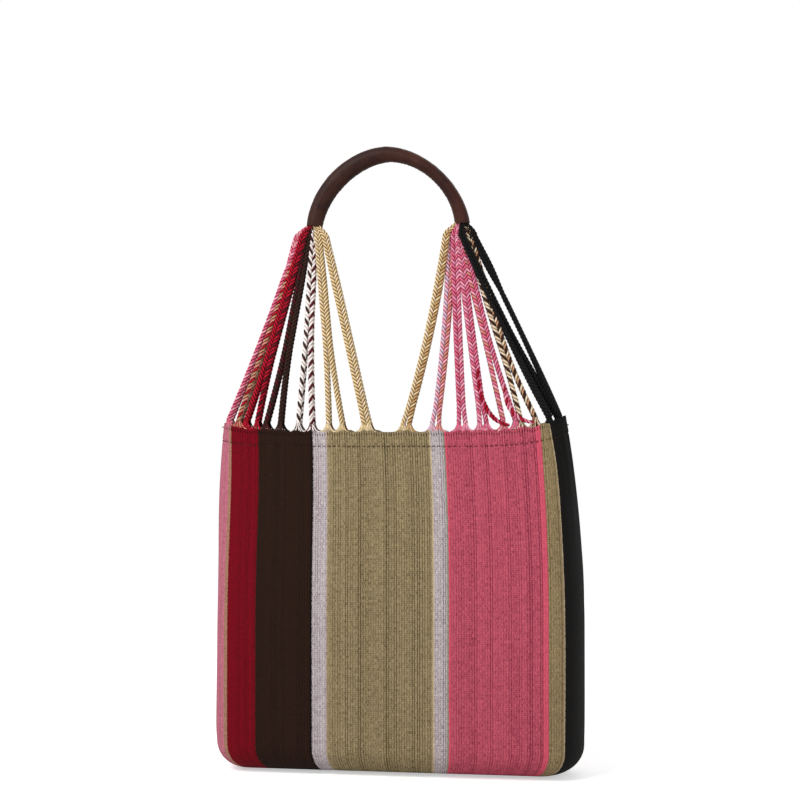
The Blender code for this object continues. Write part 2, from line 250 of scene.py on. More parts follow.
def makeFibreGroup():
    # fine fibres that run along a yarn, with a little fluff, and painted shade that darkens each strand
    # from its outward face towards its edges
    inputs = [("Around", "Float"), ("Along", "Float")]
    inputs += [("Light", "Color"), ("Dark", "Color"), ("Depth", "Float")]
    group, given, result = newGroup("yarnFibres", inputs, [("Colour", "Color"), ("Height", "Float")])
    turned = maths(group, "ADD", given["Around"], maths(group, "MULTIPLY", given["Along"], 260))
    across = maths(group, "MULTIPLY", turned, 7)
    along = maths(group, "MULTIPLY", given["Along"], 420)
    place = addNode(group, "ShaderNodeCombineXYZ", {0: across, 1: along}).outputs[0]
    streaks = noiseAt(group, place, 1.0, 2.0)
    patches = noiseAt(group, addNode(group, "ShaderNodeTexCoord").outputs["Object"], 260.0, 1.0)
    # painted shade: the strand takes the light tone on its outward face and turns to the dark tone towards
    # its edges, where it meets the next strand
    outward = maths(group, "COSINE", maths(group, "MULTIPLY", given["Around"], 2 * math.pi))
    shade = maths(group, "MULTIPLY_ADD", outward, 1.25, -0.32)
    shade = maths(group, "ADD", shade, maths(group, "MULTIPLY_ADD", streaks, 0.8, -0.40))
    shade = maths(group, "ADD", shade, maths(group, "MULTIPLY_ADD", patches, 0.5, -0.25))
    clamped = addNode(group, "ShaderNodeClamp", {"Value": shade}).outputs[0]
    colour = blendColour(group, clamped, given["Dark"], given["Light"])
    group.links.new(colour, result["Colour"])
    group.links.new(maths(group, "MULTIPLY", streaks, given["Depth"]), result["Height"])
    return group


fibreGroup = makeFibreGroup()

# for each yarn, its light tone for the strands' outward faces and its dark tone for the painted shade
# towards their edges and for darker streaks
yarnLitAndShadedTones = {
    "pink": ((232, 112, 142), (132, 34, 62)),
    "rose": ((246, 176, 190), (184, 84, 108)),
    "mauve": ((234, 152, 178), (156, 74, 106)),
    "salmon": ((220, 146, 128), (136, 66, 60)),
    "tan": ((200, 152, 114), (106, 66, 46)),
    "crimson": ((190, 16, 44), (76, 2, 12)),
    "wine": ((98, 18, 30), (34, 4, 8)),
    "brown": ((62, 36, 28), (18, 9, 7)),
    "white": ((255, 250, 246), (206, 186, 180)),
    "sand": ((238, 216, 168), (138, 98, 54)),
    "ochre": ((206, 166, 114), (112, 74, 42)),
    "lilac": ((228, 200, 214), (146, 108, 132)),
    "cream": ((240, 222, 192), (146, 112, 82)),
    "black": ((20, 18, 18), (5, 4, 4)),
}


def makeYarn(name):
    light, dark = yarnLitAndShadedTones[name]
    finish = {"Roughness": 0.85, "Sheen_Weight": 0.03, "Sheen_Roughness": 0.5}
    material, tree, shader = newMaterial("yarn_" + name, **finish)
    shader.inputs["Specular IOR Level"].default_value = 0.15
    parts = mapPlace(tree, "yarn")[1]
    fibres = addNode(tree, "ShaderNodeGroup", node_tree=fibreGroup)
    tree.links.new(parts[0], fibres.inputs["Around"])
    tree.links.new(parts[1], fibres.inputs["Along"])
    fibres.inputs["Light"].default_value = linear(*light)
    fibres.inputs["Dark"].default_value = linear(*dark)
    fibres.inputs["Depth"].default_value = 1.0
    tree.links.new(fibres.outputs["Colour"], shader.inputs["Base Color"])
    addBump(tree, shader, 0.5, 0.0003, fibres.outputs["Height"])
    return material


yarns = {name: makeYarn(name) for name in yarnLitAndShadedTones}
print("yarns dyed")

# the woven cloth's shape is worked out from how far a point is across the stripes and down the warp
pouch = {
    "hemZ": pouchHigh.z - 0.007,
    "mouth": (pouchLow.x + 0.0145, pouchHigh.x - 0.0395),  # left and right corners at the hem
    "mouthRounds": (0.010, 0.0205),
    "mouthDepth": 0.015,
    "belly": (pouchLow.x + 0.020, pouchHigh.x - 0.027),
    "bellyRounds": (0.020, 0.027),
    "bellyDepth": pouchHigh.y - 0.003,
    "bellyDrop": 0.200,
    "crown": 0.003,
    "baseRound": 0.028,
    "baseCorner": 0.020,
    "lifts": (0.005, 0.007),  # how far the cords pull the two ends of the hem up
    "liftPower": 6,
    "liftFade": 0.12,
    "leftPower": 5,  # the left side fills out sooner below the hem than the right one
    "wall": 0.0014,
    "pinch": 0.55,  # how much the cords draw the right end together at the hem
    "pinchFade": 0.07,
}
pouch["straight"] = pouch["hemZ"] - pouchLow.z - pouch["baseRound"]
baseTurn = pouch["baseRound"] * math.pi / 2
pouch["foldAt"] = pouch["straight"] + baseTurn + pouch["bellyDepth"] - pouch["baseRound"]


def quarterArc(reach, depth, turn, steps=24):
    # length round a quarter oval, from its side towards its tip
    total = 0.0
    for i in range(steps):
        a = turn * (i + 0.5) / steps
        total += math.hypot(reach * math.cos(a), depth * math.sin(a)) * turn / steps
    return total


def turnTable(reach, depth, count=60):
    turns = [math.pi / 2 * i / count for i in range(count + 1)]
    return [(quarterArc(reach, depth, turn), turn) for turn in turns]


endTables = [turnTable(reach, pouch["bellyDepth"]) for reach in pouch["bellyRounds"]]
seamLeft = pouch["belly"][0] - endTables[0][-1][0]
seamRight = pouch["belly"][1] + endTables[1][-1][0]


def endTurn(table, arc):
    for (shortArc, shortTurn), (longArc, longTurn) in zip(table, table[1:]):
        if arc <= longArc:
            return mix(shortTurn, longTurn, (arc - shortArc) / (longArc - shortArc))
    return math.pi / 2


def clothPoint(stripe, down, side, out=0.0):
    # stripe runs across the belly, down runs from the hem to the fold, side is -1 front and 1 back
    drop = min(down, pouch["straight"])
    share = min(drop / pouch["bellyDrop"], 1)
    eased = share * (2 - share)
    quick = 1 - (1 - share) ** pouch["leftPower"]
    left = mix(pouch["mouth"][0], pouch["belly"][0], quick)
    right = mix(pouch["mouth"][1], pouch["belly"][1], eased)
    rounds = [mix(a, b, e) for a, b, e in zip(pouch["mouthRounds"], pouch["bellyRounds"], (quick, eased))]
    pinch = pouch["pinch"] * (1 - min(1, drop / pouch["pinchFade"])) ** 2
    depth = mix(pouch["mouthDepth"], pouch["bellyDepth"], eased) + out
    turn = max(0.0, min((down - pouch["straight"]) / pouch["baseRound"], math.pi / 2))
    tuck = 1 - math.cos(turn)
    left += pouch["baseCorner"] * tuck
    right -= pouch["baseCorner"] * tuck
    depth -= pouch["baseRound"] * tuck
    flat = max(0.0, down - pouch["straight"] - pouch["baseRound"] * math.pi / 2)
    depth *= max(0.0, 1 - flat / (pouch["bellyDepth"] - pouch["baseRound"]))
    if stripe < pouch["belly"][0]:
        angle = endTurn(endTables[0], pouch["belly"][0] - stripe)
        x = left - (rounds[0] * (1 - tuck / 2) + out) * math.sin(angle)
        y = depth * math.cos(angle)
    elif stripe > pouch["belly"][1]:
        angle = endTurn(endTables[1], stripe - pouch["belly"][1])
        angle *= 1 - pinch * (1 - angle / (math.pi / 2))
        x = right + (rounds[1] * (1 - tuck / 2) + out) * math.sin(angle)
        y = depth * math.cos(angle)
    else:
        across = (stripe - pouch["belly"][0]) / (pouch["belly"][1] - pouch["belly"][0])
        x = mix(left, right, across)
        y = depth + pouch["crown"] * (1 - (2 * across - 1) ** 2) * (1 - tuck)
    z = pouch["hemZ"] - drop - (pouch["baseRound"] + out) * math.sin(turn)
    corner = pouch["mouth"][0] if x < 0 else pouch["mouth"][1]
    lift = pouch["lifts"][0 if x < 0 else 1] * (x / corner) ** pouch["liftPower"]
    z += lift * max(0.0, 1 - down / pouch["liftFade"])
    return Vector((x, side * y, z))


eyeInset = 0.0083  # from the leather's outer side to the middle of the rope's end
eyeX = (coverHigh.x - coverLow.x) / 2 - eyeInset
mouthZ = coverLow.z

# each pair of legs: how far outwards it hangs just below the leather, from the rope's end (fan), and half
# way down (waist), where its two feet meet the hem, how far down they part (split), how far forward it
# leaves the leather (layer) and its yarns; stacked legs hang one behind the other
cordSides = {
    -1: [
        {
            "node": "01_pink", "slot": "pink", "fan": 0.0186, "waist": 0.0530,
            "feet": (-0.1752, -0.1712), "split": 0.93, "layer": 0.0030, "stacked": 1,
            "yarns": (("rose", "pink", "rose"), ("pink", "rose", "pink")),
        },
        {
            "node": "02_tan", "slot": "tan", "fan": 0.0160, "waist": 0.0472,
            "feet": (-0.1640, -0.1580), "split": 0.9, "layer": 0.0022, "stacked": 1,
            "yarns": (("salmon", "tan", "cream"), ("tan", "crimson", "salmon")),
        },
        {
            "node": "03_crimson", "slot": "crimson", "fan": 0.0121, "waist": 0.0395,
            "feet": (-0.1525, -0.1385), "split": 0.6, "layer": 0.0054,
            "yarns": (("crimson", "crimson", "crimson"), ("crimson", "crimson", "wine")),
        },
        {
            "node": "04_brown", "slot": "brown", "fan": 0.0068, "waist": 0.0245,
            "feet": (-0.1297, -0.1125), "split": 0.55, "layer": 0.0036,
            "yarns": (("brown", "wine", "brown"), ("brown", "brown", "brown")),
        },
        {
            "node": "05_brown_white", "slot": "brown_white", "fan": 0.0005, "waist": 0.0048,
            "feet": (-0.0930, -0.0775), "split": 0.4, "layer": 0.0030,
            "yarns": (("white", "brown", "white"), ("white", "wine", "white")),
        },
        {
            "node": "06_khaki", "slot": "khaki", "fan": -0.0050, "waist": -0.0146,
            "feet": (-0.0600, -0.0440), "split": 0.52, "layer": 0.0062,
            "yarns": (("sand", "sand", "cream"), ("sand", "sand", "sand")),
        },
        {
            "node": "07_khaki", "slot": "khaki", "fan": -0.0128, "waist": -0.0360,
            "feet": (-0.0212, -0.0148), "split": 0.86, "layer": 0.0066,
            "yarns": (("sand", "sand", "sand"), ("sand", "sand", "cream")),
        },
    ],
    1: [
        {
            "node": "08_khaki", "slot": "khaki", "fan": -0.0158, "waist": -0.0325,
            "feet": (0.0158, 0.0232), "split": 0.84, "layer": 0.0060,
            "yarns": (("sand", "sand", "cream"), ("sand", "ochre", "ochre")),
        },
        {
            "node": "09_lilac", "slot": "lilac", "fan": -0.0117, "waist": -0.0155,
            "feet": (0.0470, 0.0560), "split": 0.88, "layer": 0.0034,
            "yarns": (("lilac", "lilac", "rose"), ("salmon", "salmon", "rose")),
        },
        {
            "node": "10_pink", "slot": "pink", "fan": -0.0070, "waist": -0.0029,
            "feet": (0.0765, 0.0850), "split": 0.86, "layer": 0.0062,
            "yarns": (("pink", "mauve", "pink"), ("mauve", "pink", "rose")),
        },
        {
            "node": "11_pink", "slot": "pink", "fan": -0.0028, "waist": 0.0104,
            "feet": (0.0990, 0.1075), "split": 0.84, "layer": 0.0058,
            "yarns": (("mauve", "pink", "rose"), ("pink", "mauve", "pink")),
            "sweep": {"from": 0.74, "to": 0.1290, "yarns": ("crimson", "crimson", "pink")},
        },
        {
            "node": "12_pink", "slot": "pink", "fan": 0.0008, "waist": 0.0250,
            "feet": (0.1250, 0.1395), "split": 0.5, "layer": 0.0052,
            "yarns": (("salmon", "pink", "rose"), ("pink", "pink", "mauve")),
            "sweep": {"from": 0.84, "to": 0.1540, "yarns": ("pink", "crimson", "rose")},
        },
        {
            "node": "13_khaki_brown", "slot": "khaki_brown", "fan": 0.0084, "waist": 0.0380,
            "feet": (0.1435, 0.1625), "split": 0.6, "layer": 0.0040,
            "yarns": (("cream", "brown", "cream"), ("tan", "cream", "brown")),
        },
        {
            "node": "14_black", "slot": "black", "fan": 0.0014, "waist": 0.0482,
            "feet": (0.1772, 0.1850), "split": 0.85, "layer": 0.0088, "flare": 0.42,
            "yarns": (("black", "black", "black"), ("black", "black", "black")),
        },
        {
            "node": "15_black", "slot": "black", "fan": 0.0126, "waist": 0.0608,
            "feet": (0.1838, 0.1862), "split": 0.9, "layer": 0.0046,
            "stacked": 1, "stackFrom": 0.12, "flare": 0.3,
            "yarns": (("black", "black", "black"), ("black", "black", "black")),
        },
    ],
}

cordShape = {
    "legRadius": 0.0025,
    "strands": 3,
    "lay": 0.0125,  # one full twist
    "step": 0.0009,
    "sides": 7,
    "bedding": 0.98,  # how far out in the leg a strand lies
    "swell": 1.06,
    "press": 0.93,  # two legs side by side press into each other a little
    "topWidth": 0.86,
    "insideWidth": 0.55,
    "insideDepth": 0.45,
    "topSpread": 0.12,  # how far the bundle is still spread inside the leather, as a share of its fan
    "behind": 0.15,  # each back cord hangs a little left of its front one, as a share of its depth
    "stackOver": 0.22,
    "flareFrom": 0.45,
    "flareOver": 0.4,
    "hemInset": 0.0014,
    "footLiftPower": 4,
    "insideZ": mouthZ + 0.0075,
    "fanZ": axisZ - 0.0035,
    "waistZ": axisZ - 0.1015,
    "footGap": 0.0075,  # the twisted part stops this far above the hem
}


def hemDepthAt(x):
    left, right = pouch["mouth"]
    reachLeft, reachRight = pouch["mouthRounds"]
    if x < left:
        return pouch["mouthDepth"] * math.sqrt(max(0.02, 1 - ((left - x) / reachLeft) ** 2))
    if x > right:
        return pouch["mouthDepth"] * math.sqrt(max(0.02, 1 - ((x - right) / reachRight) ** 2))
    return pouch["mouthDepth"] + pouch["crown"] * (1 - (2 * (x - left) / (right - left) - 1) ** 2)


def hemHeightAt(x):
    corner = pouch["mouth"][0] if x < 0 else pouch["mouth"][1]
    lift = pouch["lifts"][0 if x < 0 else 1]
    return pouch["hemZ"] + lift * min(x / corner, 1.0) ** cordShape["footLiftPower"]


def throughPoints(places, values, place):
    # the one smooth curve through three points
    a, b, c = places
    return (
        values[0] * (place - b) * (place - c) / ((a - b) * (a - c))
        + values[1] * (place - a) * (place - c) / ((b - a) * (b - c))
        + values[2] * (place - a) * (place - b) / ((c - a) * (c - b))
    )


def legPath(cord, end, leg, side):
    # centres of one leg, from inside the leather down to just above the hem
    shape = cordShape
    foot = sum(cord["feet"]) / 2
    footX = cord["feet"][leg]
    places = (shape["fanZ"], shape["waistZ"], pouch["hemZ"])
    values = (end * (eyeX + cord["fan"]), end * (eyeX + cord["waist"]), foot)
    topZ, lowZ = shape["insideZ"], hemHeightAt(footX) + shape["footGap"]
    spread = -1 if leg == 0 else 1
    count = int((topZ - lowZ) / shape["step"])
    path, radii = [], []
    for i in range(count + 1):
        z = mix(topZ, lowZ, i / count)
        t = max(0.0, (shape["fanZ"] - z) / (shape["fanZ"] - pouch["hemZ"]))
        above = max(0.0, (z - shape["fanZ"]) / (topZ - shape["fanZ"]))
        x = throughPoints(places, values, min(z, shape["fanZ"]))
        x = mix(x, end * (eyeX + cord["fan"] * shape["topSpread"]), min(1.0, above * 1.3) ** 1.6)
        radius = shape["legRadius"] * mix(shape["topWidth"], 1.0, easeIn(t / 0.25))
        radius *= mix(1.0, shape["insideWidth"], easeIn(above))
        radius *= 1 + cord.get("flare", 0.0) * easeIn((t - shape["flareFrom"]) / shape["flareOver"])
        apart = spread * radius * shape["press"]
        gone = max(0.0, (t - cord["split"]) / (1 - cord["split"]))
        stacked = cord.get("stacked", 0) * easeIn((t - cord.get("stackFrom", 0.0)) / shape["stackOver"])
        beside = apart * (1 - stacked)
        x += beside + (footX - foot - beside) * gone ** 1.5
        layer = cord["layer"] * mix(1.0, shape["insideDepth"], above)
        y = mix(layer, hemDepthAt(footX) - shape["hemInset"], easeIn(t) * 0.65 + t * 0.35)
        y += stacked * apart * (1 - easeIn(gone))
        if side > 0:
            x -= 2 * y * shape["behind"]
        path.append(Vector((x, side * y, z)))
        radii.append(radius)
    return path, radii


class Skein:
    # points, faces, map and yarn numbers of a piece that is built up strand by strand
    def __init__(self):
        self.points, self.faces, self.places, self.yarnNumbers = [], [], [], []

    def strand(self, path, radii, sides, outwards, yarnNumber):
        first, last = len(self.points), len(path) - 1
        length = 0.0
        lengths = []
        for i, centre in enumerate(path):
            ahead = path[min(i + 1, last)] - path[max(i - 1, 0)]
            tangent = ahead.normalized()
            outward = outwards[i] - tangent * tangent.dot(outwards[i])
            outward.normalize()
            across = tangent.cross(outward)
            if i:
                length += (centre - path[i - 1]).length
            lengths.append(length)
            for j in range(sides):
                a = 2 * math.pi * j / sides
                self.points.append(centre + (outward * math.cos(a) + across * math.sin(a)) * radii[i])
        for i in range(last):
            for j in range(sides):
                k = (j + 1) % sides
                base, above = first + i * sides, first + (i + 1) * sides
                self.faces.append((base + j, base + k, above + k, above + j))
                u, v = j / sides, (j + 1) / sides
                self.places += [u, lengths[i], v, lengths[i], v, lengths[i + 1], u, lengths[i + 1]]
                self.yarnNumbers.append(yarnNumber)
        for start, order in ((first, range(sides - 1, -1, -1)), (first + last * sides, range(sides))):
            self.faces.append(tuple(start + j for j in order))
            self.places += [0.0, 0.0] * sides
            self.yarnNumbers.append(yarnNumber)

    def piece(self, name, names):
        obj = meshPiece(name, self.points, self.faces, "yarn", self.places)
        for yarn in names:
            obj.data.materials.append(yarns[yarn])
        obj.data.polygons.foreach_set("material_index", self.yarnNumbers)
        return obj


def twistLeg(skein, path, radii, hand, phase, numbers):
    strands = cordShape["strands"]
    share = 1 / (1 + 2 / math.sqrt(3))  # three round strands in one round leg
    along = 0.0
    turns = []
    for i, centre in enumerate(path):
        if i:
            along += (centre - path[i - 1]).length
        turns.append(hand * 2 * math.pi * along / cordShape["lay"] + phase)
    last = len(path) - 1
    for k in range(strands):
        centres, outwards, thick = [], [], []
        for i, centre in enumerate(path):
            tangent = (path[min(i + 1, last)] - path[max(i - 1, 0)]).normalized()
            front = Vector((0, 1, 0)) - tangent * tangent.y
            front.normalize()
            across = tangent.cross(front)
            angle = turns[i] + 2 * math.pi * k / strands
            outward = front * math.cos(angle) + across * math.sin(angle)
            strandRadius = radii[i] * share
            centres.append(centre + outward * (radii[i] - strandRadius) * cordShape["bedding"])
            outwards.append(outward)
            thick.append(strandRadius * cordShape["swell"])
        skein.strand(centres, thick, cordShape["sides"], outwards, numbers[k])


fan = {
    "threads": 9,
    "reach": 0.0078,
    "radius": 0.00055,
    "steps": 7,
    "sides": 5,
    "tail": 0.0022,
    "root": 0.0013,
}


def threadFan(skein, start, footX, side, numbers, dice):
    # the strands open into warp threads that curve out to the hem's edge
    for k in range(fan["threads"]):
        aim = 2 * k / (fan["threads"] - 1) - 1
        reach = aim * fan["reach"] * dice.uniform(0.8, 1.05)
        begin = start + Vector((aim * fan["root"], side * dice.uniform(-0.0008, 0.0012), 0.0012))
        path = []
        for i in range(fan["steps"] + 1):
            t = i / fan["steps"]
            x = begin.x + reach * t ** 1.25
            endZ = hemHeightAt(footX + reach) - fan["tail"] * (1 - abs(aim) * 0.7)
            z = endZ + (begin.z - endZ) * (1 - t) ** (1 + 1.1 * abs(aim))
            y = mix(begin.y, side * (hemDepthAt(footX + reach) + 0.0002), easeIn(t * 1.2))
            path.append(Vector((x, y, z)))
        outwards = [Vector((0, side, 0.01))] * len(path)
        radii = [fan["radius"] * mix(1.15, 0.85, i / fan["steps"]) for i in range(fan["steps"] + 1)]
        skein.strand(path, radii, fan["sides"], outwards, numbers[k % len(numbers)])


sweepShape = {"steps": 46, "aboveHem": 0.0035, "forward": 0.002, "across": 2.1, "down": 1.7}


def sweepPath(cord, end):
    # a loose leg that leaves its cord low down and swings out along the hem
    shape = sweepShape
    main = legPath(cord, end, 1, -1)[0]
    start = main[int(len(main) * cord["sweep"]["from"])]
    goal = cord["sweep"]["to"]
    goalZ = hemHeightAt(goal) + shape["aboveHem"]
    path, radii = [], []
    for i in range(shape["steps"] + 1):
        t = i / shape["steps"]
        x = mix(start.x, goal, 0.12 * t + 0.88 * t ** shape["across"])
        z = mix(start.z, goalZ, 1 - (1 - t) ** shape["down"])
        y = mix(start.y - shape["forward"], -hemDepthAt(goal) - 0.001, easeIn(t))
        path.append(Vector((x, y, z)))
        radii.append(cordShape["legRadius"] * mix(0.7, 1.1, math.sin(math.pi * t)))
    return path, radii


def makeCord(cord, end, side):
    dice = random.Random(cord["node"] + str(side))
    skein = Skein()
    sweep = cord.get("sweep") if side < 0 else None
    sweepYarns = sweep["yarns"] if sweep else ()
    names = sorted({yarn for leg in cord["yarns"] for yarn in leg} | set(sweepYarns))
    for leg in (0, 1):
        numbers = [names.index(yarn) for yarn in cord["yarns"][leg]]
        path, radii = legPath(cord, end, leg, side)
        hand = 1 if leg == 0 else -1
        twistLeg(skein, path, radii, hand * side, dice.uniform(0, 6), numbers)
        threadFan(skein, path[-1], path[-1].x, side, numbers, dice)
    if sweep:
        path, radii = sweepPath(cord, end)
        twistLeg(skein, path, radii, 1, 0.0, [names.index(yarn) for yarn in sweepYarns])
    row = "front" if side < 0 else "back"
    piece = skein.piece(row + "Cord_" + cord["node"], names)
    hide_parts(row + "_cord_" + cord["node"])
    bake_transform(piece)


for end, cords in cordSides.items():
    for cord in cords:
        for side in (-1, 1):
            makeCord(cord, end, side)
print("cords twisted")

loops = {
    "rise": 0.0052,
    "drop": 0.001,
    "steps": 10,
    "radius": 0.0011,
    "sides": 6,
    "legGap": 0.0026,
    "yarnGap": 0.0006,
    "yarnLift": 0.0004,
}


def makeGather(end, name):
    # inside the handle's mouth each front cord turns over the rope and becomes a back cord
    skein = Skein()
    names = sorted({yarn for cord in cordSides[end] for leg in cord["yarns"] for yarn in leg})
    for cord in cordSides[end]:
        middle = end * (eyeX + cord["fan"] * cordShape["topSpread"])
        for leg in (0, 1):
            for k, yarn in enumerate(cord["yarns"][leg]):
                x = middle + (leg - 0.5) * loops["legGap"] + (k - 1) * loops["yarnGap"]
                width = cord["layer"] * 0.5 + (k - 1) * loops["yarnLift"]
                path, outwards = [], []
                for i in range(loops["steps"] + 1):
                    a = math.pi * i / loops["steps"]
                    up = Vector((0, -math.cos(a), math.sin(a)))
                    z = cordShape["insideZ"] - loops["drop"] + up.z * loops["rise"]
                    path.append(Vector((x, up.y * width, z)))
                    outwards.append(up)
                radii = [loops["radius"]] * len(path)
                skein.strand(path, radii, loops["sides"], outwards, names.index(yarn))
    piece = skein.piece("cordLoops" + name, names)
    label = name.lower()
    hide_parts("cord_gather_" + label, "cord_eye_" + label)
    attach(piece, "handle")


makeGather(-1, "Left")
makeGather(1, "Right")
print("loops laid")

dents = {
    "ripple": 0.0007,
    "rippleWidth": 0.021,
    "rippleFade": 0.055,
    "sag": 0.0024,
    "crease": 0.0011,
    "scallop": 0.0026,
    "scallopWidth": 0.0042,
    "scallopFade": 0.012,
}
hem = {"depth": 0.0150, "stitched": 0.0162, "layer": 0.0004, "pull": 0.0003}
feetX = sorted(foot for cords in cordSides.values() for cord in cords for foot in cord["feet"])


def dentedPoint(stripe, down, side, inset=0.0):
    # the cloth with the soft hollows and ripples that its own weight and the cords' pull give it
    calm = 1 - easeIn((down - pouch["straight"] + 0.02) / 0.03)
    stray = 2.5 * noise.noise(Vector((stripe * 14, side * 3, 0)))
    ripple = math.sin(2 * math.pi * stripe / dents["rippleWidth"] + stray)
    out = dents["ripple"] * ripple * math.exp(-down / dents["rippleFade"]) * min(1, down / 0.02)
    sag = noise.noise(Vector((stripe * 8, down * 6, 4 + side * 3)))
    crease = noise.noise(Vector((stripe * 26, down * 9, 11 + side * 5)))
    out += dents["sag"] * sag * easeIn(down / 0.08) * calm
    out += dents["crease"] * crease * easeIn(down / 0.05) * calm
    if down < hem["depth"]:
        out += hem["layer"]  # the turned-in hem is two layers thick
    elif down < hem["stitched"]:
        out -= hem["pull"]  # the stitch line pulls it in
    point = clothPoint(stripe, down, side, out - inset)
    if down < dents["scallopFade"]:
        near = min(abs(point.x - foot) for foot in feetX)
        pulled = math.exp(-((near / dents["scallopWidth"]) ** 2)) - 0.35
        point.z += dents["scallop"] * pulled * (1 - down / dents["scallopFade"]) ** 2
    return point


def clothRows(start, end, step):
    count = max(1, round((end - start) / step))
    return [mix(start, end, i / count) for i in range(count + 1)]


hemRows = [0, 0.0012, 0.003, 0.006, 0.009, 0.012, 0.0142, 0.0150, 0.0157, 0.0165, 0.019]


def makeCloth(name, columns, rows, inset=0.0, closed=False, wall=pouch["wall"]):
    # columns are (stripe, side) places, from left to right on the front and from right to left on the back
    points, faces, places = [], [], []
    width = len(columns)
    for down in rows:
        for stripe, side in columns:
            points.append(dentedPoint(stripe, down, side, inset))

    def place(row, column):
        stripe, side = columns[column]
        return [stripe, rows[row] if side < 0 else 2 * pouch["foldAt"] - rows[row]]

    for row in range(len(rows) - 1):
        for column in range(width if closed else width - 1):
            following = (column + 1) % width
            above, below = row * width, (row + 1) * width
            faces.append((above + column, below + column, below + following, above + following))
            side = columns[column][1]
            ends = [place(row, column), place(row + 1, column)]
            ends += [place(row + 1, following), place(row, following)]
            if columns[following][1] != side:  # the face across a side seam keeps one side's threads
                ends[2][1], ends[3][1] = ends[1][1], ends[0][1]
            places += [value for pair in ends for value in pair]
    obj = meshPiece(name, points, faces, "weave", places)
    holdOnly(obj)
    if closed:
        bpy.ops.object.mode_set(mode="EDIT")
        bpy.ops.mesh.select_all(action="SELECT")
        bpy.ops.mesh.remove_doubles(threshold=0.00005)
        bpy.ops.object.mode_set(mode="OBJECT")
    solid = obj.modifiers.new("wall", "SOLIDIFY")
    solid.thickness = wall
    solid.offset = -1
    bpy.ops.object.modifier_apply(modifier="wall")
    obj.select_set(False)
    return obj


def clothColumns(step):
    stripes = clothRows(seamLeft, seamRight, step)
    return [(s, -1) for s in stripes] + [(s, 1) for s in reversed(stripes[1:-1])]


def makePouch():
    rows = hemRows + clothRows(0.019, pouch["straight"], 0.0042)[1:]
    rows += clothRows(pouch["straight"], pouch["foldAt"], 0.0036)[1:]
    cloth = makeCloth("wovenPouch", clothColumns(0.0023), rows, closed=True)
    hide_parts("pouch_cloth")
    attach(cloth, "bag")
    return cloth


facingShape = {"margin": 0.006, "step": 0.0024, "gap": 0.0004, "wall": 0.0012}


def makeFacing(side, name):
    shape = facingShape
    stripes = clothRows(seamLeft + shape["margin"], seamRight - shape["margin"], shape["step"])
    columns = [(s, side) for s in (stripes if side < 0 else reversed(stripes))]
    inset = pouch["wall"] + shape["gap"]
    facing = makeCloth("hemFacing" + name, columns, hemRows[1:-1], inset=inset, wall=shape["wall"])
    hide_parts("hem_facing_" + name.lower())
    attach(facing, "bag")
    return facing


seamShape = {
    "arcs": (0.0034, 0.0022, 0.001),
    "top": 0.018,
    "foot": 0.325,
    "step": 0.004,
    "gap": 0.0005,
    "wall": 0.0013,
}


def makeSideSeam(stripe, inwards, name):
    shape = seamShape
    columns = [(stripe + inwards * a, -inwards) for a in shape["arcs"]] + [(stripe, -1)]
    columns += [(stripe + inwards * a, inwards) for a in reversed(shape["arcs"])]
    rows = clothRows(shape["top"], shape["foot"], shape["step"])
    inset = pouch["wall"] + shape["gap"]
    seam = makeCloth("sideSeam" + name, columns, rows, inset=inset, wall=shape["wall"])
    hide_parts("side_seam_" + name.lower())
    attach(seam, "bag")
    return seam


wovenPouch = makePouch()
clothPieces = [wovenPouch, makeFacing(-1, "Front"), makeFacing(1, "Back")]
clothPieces += [makeSideSeam(seamLeft, 1, "Left"), makeSideSeam(seamRight, -1, "Right")]
print("cloth hung")

# stripes of the warp, by the place where each one ends on the belly, with its light and dark tones, which
# give its light and dark threads as well as the painted shade between its ribs, and how strongly the weave
# swings between the two
stripes = [
    (-0.1640, (206, 124, 140), (144, 70, 90), 0.8),
    (-0.1592, (176, 134, 112), (124, 84, 66), 0.7),
    (-0.1302, (128, 6, 26), (78, 3, 12), 0.6),
    (-0.0724, (46, 26, 17), (24, 13, 8), 0.6),
    (-0.0712, (14, 9, 7), (9, 6, 5), 0.3),
    (-0.0562, (198, 188, 188), (106, 88, 100), 0.9),
    (-0.0543, (176, 158, 132), (112, 92, 76), 0.8),
    (0.0545, (160, 143, 107), (72, 60, 39), 0.9),
    (0.0568, (200, 182, 150), (140, 118, 92), 0.8),
    (0.0692, (198, 188, 188), (106, 90, 100), 0.9),
    (0.0708, (156, 152, 136), (96, 92, 80), 0.8),
    (0.0718, (92, 36, 52), (60, 20, 32), 0.5),
    (0.0738, (216, 84, 106), (172, 54, 80), 0.7),
    (0.1094, (198, 90, 108), (110, 33, 52), 0.9),
    (0.1098, (128, 34, 52), (92, 20, 36), 0.5),
    (0.1655, (198, 90, 108), (110, 33, 52), 0.9),
    (0.1708, (216, 92, 112), (160, 54, 76), 0.7),
    (0.1866, (158, 138, 102), (78, 63, 41), 0.9),
    (0.1883, (186, 168, 136), (128, 108, 82), 0.7),
    (0.2600, (22, 20, 19), (11, 10, 9), 0.5),
]


def stripeRamp(tree, place, column):
    ramp = addNode(tree, "ShaderNodeValToRGB", {"Fac": place})
    elements = ramp.color_ramp.elements
    ramp.color_ramp.interpolation = "CONSTANT"
    start = seamLeft
    span = stripes[-1][0] - seamLeft
    for i, stripe in enumerate(stripes):
        value = stripe[column]
        colour = linear(*value) if isinstance(value, tuple) else (value, value, value, 1)
        position = (start - seamLeft) / span
        element = elements[0] if i == 0 else (elements[1] if i == 1 else elements.new(position))
        element.position = position
        element.color = colour
        start = stripe[0]
    return ramp.outputs["Color"]


weave = {
    "rib": 0.00265,
    "weft": 0.0019,
    "dash": 0.0046,
    "thread": 0.0007,
    "slub": 0.0030,
    "bundle": 0.0075,
    "holesFrom": 0.0022,
    "holesTo": 0.0048,
}


